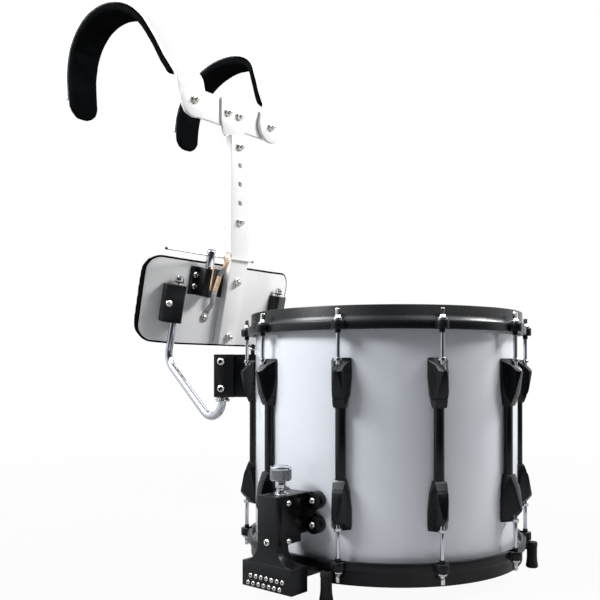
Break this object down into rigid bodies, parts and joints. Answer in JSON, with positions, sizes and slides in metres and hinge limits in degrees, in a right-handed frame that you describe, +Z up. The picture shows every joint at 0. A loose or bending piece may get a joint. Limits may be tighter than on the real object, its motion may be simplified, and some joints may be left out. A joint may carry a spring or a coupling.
{
  "type": "marching snare drum with shoulder carrier",
  "caption": "Marching snare drum with lugs, screw strainer and feet, hung by two J-shaped rods from a shoulder carrier with belly plate, sliding T bar, tilting straps and a tuning key.",
  "frame": {"origin": "centre of the upper (batter) head's playing surface, on the drum's axis", "axes": "+Z up along the drum's axis, out of the playing surface; +Y from the drum towards the wearer; +X to the side away from the picture's camera"},
  "size_m": [0.451, 0.7615, 0.8581],
  "materials": {
    "shell": "gloss",
    "film": "satin",
    "black": "satin",
    "chrome": "polished",
    "rubber": "matte",
    "steel": "satin",
    "white": "satin",
    "foam": "matte"
  },
  "bodies": {
    "drum": {"shell": "shell", "batter_head": "film", "snare_head": "film", "batter_hoop": "black", "snare_hoop": "black", "lug_01": "black", "lug_02": "black", "lug_03": "black", "lug_04": "black", "lug_05": "black", "lug_06": "black", "lug_07": "black", "lug_08": "black", "lug_09": "black", "lug_10": "black", "batter_rod_01": "chrome", "batter_rod_02": "chrome", "batter_rod_03": "chrome", "batter_rod_04": "chrome", "batter_rod_05": "chrome", "batter_rod_06": "chrome", "batter_rod_07": "chrome", "batter_rod_08": "chrome", "batter_rod_09": "chrome", "batter_rod_10": "chrome", "snare_rod_01": "chrome", "snare_rod_02": "chrome", "snare_rod_03": "chrome", "snare_rod_04": "chrome", "snare_rod_05": "chrome", "snare_rod_06": "chrome", "snare_rod_07": "chrome", "snare_rod_08": "chrome", "snare_rod_09": "chrome", "snare_rod_10": "chrome", "foot_01": "rubber", "foot_02": "rubber", "foot_03": "rubber", "strainer_base": "black", "snare_strands": "steel", "receptor_left": "black", "receptor_right": "black"},
    "strainer_carriage": {"strainer_slide": "black"},
    "tension_knob": {"strainer_knob": "chrome"},
    "hooks": {"j_rod_left": "chrome", "j_rod_right": "chrome"},
    "carrier": {"rod_clamp_left": "black", "rod_clamp_right": "black", "belly_plate": "white", "belly_pad": "foam", "spine_bar": "white", "key_holder": "black"},
    "height_slide": {"t_bar": "white"},
    "strap_left": {"shoulder_strap_left": "white", "shoulder_pad_left": "foam"},
    "strap_right": {"shoulder_strap_right": "white", "shoulder_pad_right": "foam"},
    "key": {"t_key": "chrome"},
    "key_bar": {"tommy_bar": "chrome"},
    "key_latch": {"latch_strip": "steel"}
  },
  "joints": [
    {"name": "knob_turn", "type": "hinge", "parent": "drum", "child": "tension_knob", "pos_m": [-0.2146, 0, -0.19], "axis": [0, 0, 1], "range_deg": [-10, 2170]},
    {"name": "carriage_slide", "type": "slide", "parent": "drum", "child": "strainer_carriage", "axis": [0, 0, -1], "range_m": [0, 0.006]},
    {"name": "hook_lift_out", "type": "slide", "parent": "drum", "child": "hooks", "axis": [0, 0, -1], "range_m": [0, 0.07]},
    {"name": "clamp_slide", "type": "slide", "parent": "hooks", "child": "carrier", "axis": [0, -0.225, 0.9744], "range_m": [0, 0.02]},
    {"name": "height_adjust", "type": "slide", "parent": "carrier", "child": "height_slide", "axis": [0, 0, 1], "range_m": [-0.031, 0.062]},
    {"name": "strap_left_tilt", "type": "hinge", "parent": "height_slide", "child": "strap_left", "pos_m": [-0.087, 0.2966, 0.3542], "axis": [0, 1, 0], "range_deg": [-15, 15]},
    {"name": "strap_right_tilt", "type": "hinge", "parent": "height_slide", "child": "strap_right", "pos_m": [0.087, 0.2966, 0.3542], "axis": [0, 1, 0], "range_deg": [-15, 15]},
    {"name": "key_slide", "type": "slide", "parent": "carrier", "child": "key", "axis": [0, -0.225, 0.9744], "range_m": [0, 0.035]},
    {"name": "key_bar_slide", "type": "slide", "parent": "key", "child": "key_bar", "axis": [1, 0, 0], "range_m": [-0.08, 0.08]},
    {"name": "latch_flex", "type": "hinge", "parent": "carrier", "child": "key_latch", "pos_m": [-0.047, 0.3163, 0.0185], "axis": [0, -0.9744, -0.225], "range_deg": [-8, 7], "stiffness_Nm_per_rad": 0.2}
  ],
  "couplings": [
    {"joint": "knob_turn", "follows": "carriage_slide", "rad_per_m": 6283.2}
  ]
}
